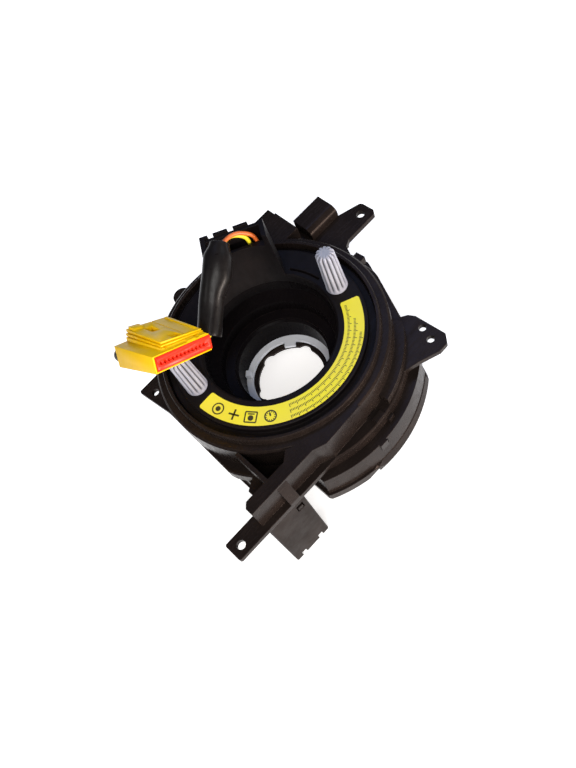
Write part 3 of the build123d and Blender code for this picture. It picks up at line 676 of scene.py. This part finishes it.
class CLOCKSPRING_OT_plug(bpy.types.Operator):
    """Mould the plug's stepped body, its lock and its boot"""

    bl_idname = "clockspring.plug"
    bl_label = "Plug"

    def execute(self, context):
        plug = settings("plug")
        plastic = settings("plastic")
        wide, deep, base = plug.width, plug.depth, plug.base
        step = base + plug.step
        foot = 0.0050

        def taper(place):
            """The base thickens towards the lead, and so does the step on it."""
            x, y, z = place
            thick = base * (1.0 + 13.0 * y)
            if z <= base:
                return Vector((x, y, z * thick / base))
            rise = 0.0028 - 0.066 * (x - foot) + 0.077 * (y - 0.0025)
            return Vector((x, y, thick + (z - base) / plug.step * rise))

        low, middle, high = base + 0.0017, base + 0.0034, step
        body_blocks = [
            ((-0.0008, 0, 0), (wide + 0.0006, deep, base)),
            ((foot, 0.0018, base - 0.001), (wide, deep, low)),
            ((foot + 0.0007, 0.0026, low - 0.001), (wide, deep, low + 0.0006)),
            ((foot + 0.0003, 0.0022, low + 0.0005), (wide, deep, middle)),
            ((foot + 0.0012, 0.0034, middle - 0.001), (wide, deep, middle + 0.0006)),
            ((foot + 0.0008, 0.0030, middle + 0.0005), (wide, deep, high)),
            ((0.0155, 0.0002, base - 0.001), (wide, 0.0030, base + 0.0013)),
            ((foot + 0.0016, deep - 0.0040, high - 0.001), (foot + 0.0062, deep - 0.0006, high + 0.0012)),
            ((wide - 0.0016, 0.0045, high - 0.001), (wide - 0.0004, deep - 0.001, high + 0.0008)),
        ]
        body_cuts = [
            ((-0.0001, -0.001, 0.0005), (wide + 0.001, 0.0034, base - 0.0004)),
            ((0.0104, 0.0135, high - 0.0026), (0.0142, 0.0190, high + 0.002)),
            ((0.0118, 0.0036, high - 0.0024), (0.0160, 0.0072, high + 0.002)),
            ((0.0062, 0.0010, base + 0.0010), (0.0078, 0.0034, base + 0.0024)),
            ((0.0195, -0.001, base + 0.0004), (0.0212, 0.0034, base + 0.002)),
            ((0.0172, 0.0042, high - 0.0016), (0.0176, deep + 0.001, high + 0.002)),
        ]
        amber = (plug.body[0] * 0.88, plug.body[1] * 0.80, 0.0, 1.0)
        body = moulded_blocks("plug_case", body_blocks, body_cuts, plug.edge_radius, taper)
        finish = moulded_finish(
            "plug_yellow_plastic",
            plug.body,
            amber,
            plug.edge_radius,
            0.00001,
            rough=(0.38, 0.48),
            grain=1800.0,
            dust_share=0.3,
            specular=0.2,
        )
        dress(body, finish, "rotor", ["plug_body"])
        lock_blocks = [((0.0, -0.0003, 0.0006), (wide + 0.0009, 0.0033, base - 0.0005))]
        pitch = (wide - 0.0030) / plug.slots
        lock_cuts = [((0.0012, -0.001, base / 2 - 0.0002), (wide - 0.0006, 0.0001, base / 2 + 0.0002))]
        for slot in range(plug.slots):
            left = 0.0018 + pitch * slot
            lock_cuts.append(((left, -0.001, base / 2 - 0.0007), (left + 0.0008, 0.0020, base / 2 + 0.0006)))
        darker = (plug.lock[0] * 0.8, plug.lock[1] * 0.7, plug.lock[2] * 0.7, 1.0)
        lock = moulded_blocks("plug_secondary_lock", lock_blocks, lock_cuts, 0.00012, taper)
        finish = moulded_finish(
            "lock_red_plastic",
            plug.lock,
            darker,
            0.0002,
            0.00001,
            rough=(0.30, 0.42),
            grain=1800.0,
            dust_share=0.3,
            specular=0.35,
        )
        dress(lock, finish, "rotor", ["plug_lock"])
        boot_line = [plug_place((0.0023, deep - 0.001, 0.0036)), plug_place((0.0023, deep + 0.0032, 0.0036))]
        shape = bmesh.new()
        bmesh.ops.create_cone(
            shape,
            cap_ends=True,
            segments=40,
            radius1=0.0031,
            radius2=0.0026,
            depth=(boot_line[1] - boot_line[0]).length,
            matrix=Matrix.Translation((boot_line[0] + boot_line[1]) / 2)
            @ (boot_line[1] - boot_line[0]).to_track_quat("Z", "Y").to_matrix().to_4x4(),
        )
        boot = bevelled(mesh_piece("lead_entry_boot", shape), 0.0005, 3)
        finish = rubber_finish("boot_rubber", plastic.black, plastic.dust)
        dress(boot, finish, "rotor", ["lead_boot"])
        sleeve = bpy.data.objects["shrunk_sleeve"]
        for colour, route, length, pieces in (
            ("yellow", YELLOW_ROUTE, 0.120, (body, lock, boot, sleeve)),
            ("orange", ORANGE_ROUTE, 0.122, (body,)),
        ):
            2 * settings("lead").core_radius
        return {"FINISHED"}


class CLOCKSPRING_OT_driver_pins(bpy.types.Operator):
    """Turn the two fluted driver pins"""

    bl_idname = "clockspring.driver_pins"
    bl_label = "Driver Pins"

    def execute(self, context):
        pin = settings("pin")
        finish = moulded_finish(
            "pin_grey_plastic",
            pin.colour,
            (0.66, 0.67, 0.76, 1.0),
            0.00025,
            0.00002,
            rough=(0.32, 0.44),
        )
        tree = finish.node_tree
        shader = tree.nodes["Principled BSDF"]
        ribs = shader.inputs["Base Color"].links[0].from_socket
        # painted shade: the flutes' bottoms are mixed towards the groove colour by their depth, standing in
        # for the shade in them
        depth = add_node(tree, "ShaderNodeAttribute", attribute_name="groove").outputs["Fac"]
        groove_shade_share = span(tree, depth, 0.15, 0.75, 0.0, 1.0)
        mottle(tree, shader, groove_shade_share, ribs, pin.groove)
        around = pin.flutes * 12
        straight_share, dome_share = 0.915, 0.085
        straight_steps, dome_steps = 30, 8
        plain_foot, run_in = 0.0008, 0.0018
        for side in ("right", "left"):
            low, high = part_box(f"driver_pin_{side}")
            middle = (low + high) / 2
            levels = []
            for step in range(straight_steps + 1):
                share = step / straight_steps
                height = pin.height * share * straight_share
                width = pin.foot_radius + (pin.top_radius - pin.foot_radius) * share
                depth = min(max((height - plain_foot) / run_in, 0.0), 1.0)
                levels.append((height, width, pin.flute_depth * math.sin(depth * math.pi / 2)))
            width = levels[-1][1]
            rounding = pin.height * dome_share
            for step in range(1, dome_steps + 1):
                turn = math.pi / 2 * step / dome_steps
                levels.append(
                    (
                        pin.height * straight_share + rounding * math.sin(turn),
                        width - rounding * (1 - math.cos(turn)),
                        pin.flute_depth * math.cos(turn * 0.75),
                    )
                )
            shoulder, shoulder_width = len(levels) - 1, levels[-1][1]
            for share in (0.75, 0.5, 0.25):
                fade = pin.flute_depth * 0.38 * share
                levels.append((pin.height, shoulder_width * share, fade))
            shape = bmesh.new()
            groove = shape.verts.layers.float.new("groove")
            rows = []
            for index, (height, width, depth) in enumerate(levels):
                row = []
                for step in range(around):
                    turn = 2 * math.pi * step / around
                    wave = abs(math.sin(turn * pin.flutes / 2))
                    radius = width - depth * (1 - wave**0.6)
                    drop = depth * 0.5 * (1 - wave) if index > shoulder else 0.0
                    row.append(
                        shape.verts.new(
                            (
                                middle.x + radius * math.cos(turn),
                                middle.y + radius * math.sin(turn),
                                low.z + height - drop,
                            )
                        )
                    )
                    # the share of painted shade at each point, from its depth in the flute
                    row[-1][groove] = (1 - wave**0.6) * depth / pin.flute_depth
                rows.append(row)
            for row, following in zip(rows, rows[1:]):
                for step in range(around):
                    after = (step + 1) % around
                    shape.faces.new((row[step], row[after], following[after], following[step]))
            shape.faces.new(rows[-1])
            shape.faces.new(reversed(rows[0]))
            piece = mesh_piece(f"fluted_pin_{side}", shape)
            smooth(piece, 60)
            dress(piece, finish, "rotor", [f"driver_pin_{side}"])
        return {"FINISHED"}


class CLOCKSPRING_OT_label_print(bpy.types.Operator):
    """Print an even scale of ticks and four plain shapes on the label"""

    bl_idname = "clockspring.label_print"
    bl_label = "Label Print"

    def execute(self, context):
        label = settings("label")
        ink_thickness = 0.00002
        height = LABEL_TOP + ink_thickness
        shape = bmesh.new()
        line, bold = label.line, label.shape_line
        row_half, tall_tick, short_tick = 0.0005, 0.0016, 0.0009
        shapes_radius, shape_half = 0.0364, 0.0023

        def plate(points):
            shape.faces.new([shape.verts.new((x, y, height)) for x, y in points])

        def polar(radius, degrees):
            turn = math.radians(degrees)
            return Vector((radius * math.cos(turn), radius * math.sin(turn)))

        def bar(start, end, width):
            start, end = Vector(start), Vector(end)
            side = (end - start).normalized().orthogonal() * width / 2
            plate([start - side, end - side, end + side, start + side])

        def circle(centre, radius, width, steps=28):
            inner, outer = radius - width / 2, radius + width / 2
            for step in range(steps):
                a = 360.0 * step / steps
                b = 360.0 * (step + 1) / steps
                plate(
                    [
                        centre + polar(inner, a),
                        centre + polar(outer, a),
                        centre + polar(outer, b),
                        centre + polar(inner, b),
                    ]
                )

        # an even scale in three rows, with every fifth tick taller
        for radius, begin, end in ((0.0338, 241.5, 330.5), (0.0363, 241.0, 319.0), (0.0388, 240.6, 309.0)):
            step = math.degrees(label.tick_gap / radius)
            for tick in range(int((end - begin) / step) + 1):
                turn = begin + step * tick
                tall = tall_tick if tick % 5 == 0 else short_tick
                bar(polar(radius - row_half, turn), polar(radius - row_half + tall, turn), line)
        # a ring with a filled disc in it, and two crossed bars
        ring = polar(shapes_radius, 192.5)
        circle(ring, shape_half, bold)
        plate([ring + polar(0.0011, 30 * step) for step in range(12)])
        cross_turn = 204.2
        cross = polar(shapes_radius, cross_turn)
        for turn in (cross_turn, cross_turn + 90):
            bar(cross - polar(shape_half, turn), cross + polar(shape_half, turn), bold * 1.4)
        # a square with a filled disc and a bar in it, and a dial
        out = polar(1.0, 215.6)
        along = Vector((-out.y, out.x))
        centre = polar(shapes_radius, 215.6)
        ways = ((1, 1), (1, -1), (-1, -1), (-1, 1))
        corners = [centre + out * a * 0.0022 + along * b * 0.0024 for a, b in ways]
        for a, b in zip(corners, corners[1:] + corners[:1]):
            bar(a, b, bold)
        plate([centre + out * 0.0004 + polar(0.0012, 30 * step) for step in range(12)])
        bar(centre - out * 0.0013 - along * 0.0014, centre - out * 0.0013 + along * 0.0014, bold)
        dial = polar(shapes_radius, 228.3)
        circle(dial, shape_half, bold)
        for step in range(12):
            bar(dial + polar(0.0015, 30 * step), dial + polar(0.0020, 30 * step), bold * 0.6)
        bar(dial, dial + polar(0.0014, 60), bold * 1.2)
        for face in shape.faces:
            face.normal_update()
            if face.normal.z < 0:
                face.normal_flip()
        mesh = bpy.data.meshes.new("label_print")
        shape.to_mesh(mesh)
        shape.free()
        printed = new_piece("label_print", mesh)
        finish = insulation_finish("printing_ink", label.ink)
        dress(printed, finish, "rotor")
        return {"FINISHED"}


class CLOCKSPRING_OT_housing_sides(bpy.types.Operator):
    """Give the housing and the sensor their straight left and right sides"""

    bl_idname = "clockspring.housing_sides"
    bl_label = "Housing Sides"

    def execute(self, context):
        sides = settings("sides")
        flange_low, flange_high, flange_edge = -0.010, 0.0075, 0.003
        drum = solid_copy("outer_housing", "drum_and_flange")
        for degrees, reach in ((sides.right_turn, sides.right_reach), (sides.left_turn, sides.left_reach)):
            flatten_side(
                drum,
                degrees,
                lambda height, reach=reach: reach,
                lambda height: sides.flange_radius,
                sides.flange_radius - flange_edge,
                flange_low,
                flange_high,
            )
        # the right end of the terrace on the flange is let down to the flange
        terrace_floor = 0.00255
        for vertex in drum.data.vertices:
            turn = math.degrees(math.atan2(vertex.co.y, vertex.co.x))
            radius = math.hypot(vertex.co.x, vertex.co.y)
            if -36.5 < turn < -13.0 and 0.0495 < radius < 0.0545 and 0.0060 < vertex.co.z < flange_high:
                vertex.co.z = terrace_floor
        drum = shaded_again(drum)
        dress(drum, bpy.data.materials["housing_plastic"], "stator", ["outer_housing"])
        slope, sensor_top, sensor_inside = sides.sensor_slope, -0.0035, 0.055
        rim_radius, wall_radius, rim_low, rim_high, notch_side = 0.0603, 0.0600, -0.0150, -0.0140, -0.0093
        for node, name in (
            ("sensor_housing", "sensor_tub"),
            ("sensor_base_cover", "sensor_cover"),
            ("sensor_circuit_board", "sensor_board"),
        ):
            piece = solid_copy(node, name)
            for vertex in piece.data.vertices:
                place = vertex.co
                radius = math.hypot(place.x, place.y)
                # the rim runs out to the right of its notch
                if radius > rim_radius and rim_low < place.z < rim_high and place.x > notch_side:
                    place.x *= wall_radius / radius
                    place.y *= wall_radius / radius
                if place.x < sides.left_start:
                    place.x = sides.left_start + (place.x - sides.left_start) * sides.left_share
            flatten_side(
                piece,
                sides.right_turn,
                lambda height: sides.right_reach + slope * (height - sensor_top),
                lambda height: sides.sensor_radius - slope * (height - sensor_top),
                sensor_inside,
            )
            piece = shaded_again(piece)
            finish = "board_green_lacquer" if node == "sensor_circuit_board" else "housing_plastic"
            dress(piece, bpy.data.materials[finish], "stator", [node])
        return {"FINISHED"}


class CLOCKSPRING_OT_housing_finish(bpy.types.Operator):
    """Give the housings, the rotor and what they hold their finishes"""

    bl_idname = "clockspring.housing_finish"
    bl_label = "Housing Finish"

    def execute(self, context):
        plastic = settings("plastic")
        label = settings("label")
        radius, depth = plastic.edge_radius, plastic.grain_depth
        warm = (1.0, 0.80, 0.72)
        outer = (plastic.black, plastic.dust, radius, depth)
        black = moulded_finish(
            "housing_plastic",
            *outer,
            rough=(0.20, 0.34),
            dust_share=0.35,
            specular=0.10,
            tint=warm,
        )
        brownish = moulded_finish(
            "connector_plastic",
            *outer,
            rough=(0.34, 0.48),
            dust_share=0.35,
            specular=0.05,
            tint=warm,
        )
        matt = moulded_finish(
            "rotor_black_plastic",
            plastic.inner_black,
            plastic.dust,
            radius,
            depth,
            rough=(0.36, 0.50),
            grain=1800.0,
            dust_share=0.2,
            specular=0.11,
        )
        glossy = moulded_finish(
            "hub_black_plastic",
            plastic.inner_black,
            plastic.dust,
            radius,
            depth * 0.3,
            rough=(0.24, 0.36),
            dust_share=0.08,
            specular=0.02,
        )
        # painted light: the drive ring's grey is paler than the part's own, to make up for the light that the
        # bore keeps from it
        grey = moulded_finish(
            "ring_grey_plastic",
            plastic.ring_grey_and_painted_light,
            (0.70, 0.70, 0.74, 1),
            0.0002,
            0.00002,
            rough=(0.34, 0.46),
        )
        small = 0.0001
        cream, dull_cream = (0.72, 0.71, 0.66, 1), (0.6, 0.58, 0.5, 1)
        white = moulded_finish("gear_white_plastic", cream, dull_cream, small, 0.00001)
        board = moulded_finish(
            "board_green_lacquer",
            (0.01, 0.12, 0.05, 1),
            (0.02, 0.2, 0.09, 1),
            small,
            0.00003,
            rough=(0.2, 0.35),
            grain=600.0,
        )
        ribbon = moulded_finish("ribbon_film", (0.62, 0.62, 0.60, 1), (0.5, 0.42, 0.3, 1), small, 0.00001)
        steel = metal_finish("magnet_steel", (0.28, 0.28, 0.30, 1))
        tin = metal_finish("terminal_tin", (0.72, 0.60, 0.36, 1))
        finishes = {
            "outer_housing": black,
            "chamber_floor": black,
            "sensor_housing": black,
            "sensor_base_cover": black,
            "harness_connector_shroud": brownish,
            "side_connector_housing": black,
            "rotor_disc": matt,
            "hub_sleeve": glossy,
            "tower_header": black,
            "shaft_drive_ring": grey,
            "sensor_ring_gear": white,
            "first_measuring_gear": white,
            "second_measuring_gear": white,
            "sensor_circuit_board": board,
            "ribbon_cable": ribbon,
            "first_gear_magnet": steel,
            "second_gear_magnet": steel,
            "harness_terminals": tin,
            "side_terminals": tin,
            "yellow_label": label_finish("label_film", label.ground),
        }
        for name, finish in finishes.items():
            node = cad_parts[name]
            if not node.material_slots:
                node.data.materials.append(finish)
            for slot in node.material_slots:
                slot.material = finish
        return {"FINISHED"}


class CLOCKSPRING_OT_stage(bpy.types.Operator):
    """Set up the floor, the soft lights and the world"""

    bl_idname = "clockspring.stage"
    bl_label = "Stage"

    def execute(self, context):
        stage = settings("stage")
        shape = bmesh.new()
        bmesh.ops.create_grid(shape, x_segments=1, y_segments=1, size=stage.floor_size / 2)
        floor = mesh_piece("floor", shape)
        clearance = 0.0002
        floor.location.z = FLOOR_HEIGHT - clearance
        material, tree, shader = new_finish("floor_paper", specular=0.2)
        fine = cloud(tree, 30.0, 2.0)
        paler = [value * 0.985 for value in stage.floor[:3]] + [1.0]
        mottle(tree, shader, fine, stage.floor, paler)
        shader.inputs["Roughness"].default_value = 0.8
        shader.inputs["Emission Color"].default_value = (1, 1, 1, 1)
        shader.inputs["Emission Strength"].default_value = 0.6
        floor.data.materials.append(material)

        def area(name, place, size, power, colour):
            """A soft light that faces the object."""
            light = bpy.data.lights.new(name, "AREA")
            light.shape = "RECTANGLE"
            light.size, light.size_y = size
            light.energy = power
            light.color = colour
            lamp = new_piece(name, light)
            lamp.location = place
            lamp.rotation_euler = (-Vector(place)).to_track_quat("-Z", "Y").to_euler()

        area("front_light", (-0.45, -0.72, 1.10), (0.8, 0.6), 12.5, (1.0, 0.98, 0.95))
        area("low_light", (0.20, -1.20, 0.12), (0.7, 0.25), 18.0, (1.0, 0.86, 0.76))
        area("left_light", (-1.1, 0.25, 0.8), (0.7, 0.7), 4.0, (1.0, 0.98, 0.96))
        area("right_light", (1.1, -0.1, 0.9), (0.7, 0.7), 5.0, (0.75, 0.86, 1.0))
        area("back_light", (0.39, 0.49, 1.14), (0.5, 0.35), 1.8, (0.35, 0.5, 1.0))
        world = bpy.data.worlds.new("studio")
        world.use_nodes = True
        background = world.node_tree.nodes["Background"]
        background.inputs["Color"].default_value = (0.80, 0.86, 1.0, 1.0)
        background.inputs["Strength"].default_value = 0.07
        context.scene.world = world
        context.scene.view_settings.view_transform = "Standard"
        return {"FINISHED"}


class CLOCKSPRING_OT_camera(bpy.types.Operator):
    """Place the camera"""

    bl_idname = "clockspring.camera"
    bl_label = "Camera"

    def execute(self, context):
        data = bpy.data.cameras.new("camera")
        data.lens = settings("stage").lens
        data.sensor_width = 36.0
        data.clip_start = 0.01
        camera = new_piece("camera", data)
        right = Vector((0.68604, -0.67799, -0.26398))
        up = Vector((0.71226, 0.55179, 0.43384))
        back = Vector((-0.14848, -0.48565, 0.86145))
        turn = Matrix((right, up, back)).transposed()
        camera.matrix_world = Matrix.Translation((-0.057233, -0.176610, 0.292292)) @ turn.to_4x4()
        context.scene.camera = camera
        return {"FINISHED"}


class CLOCKSPRING_PT_panel(bpy.types.Panel):
    """Builds the clock spring piece by piece"""

    bl_idname = "CLOCKSPRING_PT_panel"
    bl_label = "Clock Spring"
    bl_space_type = "VIEW_3D"
    bl_region_type = "UI"
    bl_category = "Clock Spring"

    def draw(self, context):
        for operator in OPERATORS:
            self.layout.operator(operator.bl_idname)
        for name, group in SETTINGS.items():
            box = self.layout.box()
            box.label(text=name.capitalize())
            for prop in group.__annotations__:
                box.prop(settings(name), prop)


SETTINGS = {
    "plastic": PlasticSettings,
    "lead": LeadSettings,
    "pin": PinSettings,
    "label": LabelSettings,
    "plug": PlugSettings,
    "sides": SidesSettings,
    "stage": StageSettings,
}
OPERATORS = (
    CLOCKSPRING_OT_camera,
    CLOCKSPRING_OT_lead_cores,
    CLOCKSPRING_OT_lead_sleeve,
    CLOCKSPRING_OT_plug,
    CLOCKSPRING_OT_driver_pins,
    CLOCKSPRING_OT_label_print,
    CLOCKSPRING_OT_housing_finish,
    CLOCKSPRING_OT_housing_sides,
    CLOCKSPRING_OT_stage,
)


def register():
    for group in SETTINGS.values():
        bpy.utils.register_class(group)
    for name, group in SETTINGS.items():
        setattr(bpy.types.Scene, "clock_spring_" + name, PointerProperty(type=group))
    for operator in OPERATORS:
        bpy.utils.register_class(operator)
    bpy.utils.register_class(CLOCKSPRING_PT_panel)


def unregister():
    bpy.utils.unregister_class(CLOCKSPRING_PT_panel)
    for operator in reversed(OPERATORS):
        bpy.utils.unregister_class(operator)
    for name in SETTINGS:
        delattr(bpy.types.Scene, "clock_spring_" + name)
    for group in reversed(SETTINGS.values()):
        bpy.utils.unregister_class(group)


def main():
    register()
    for operator in OPERATORS:
        group, name = operator.bl_idname.split(".")
        getattr(getattr(bpy.ops, group), name)()


if __name__ == "__main__":
    main()
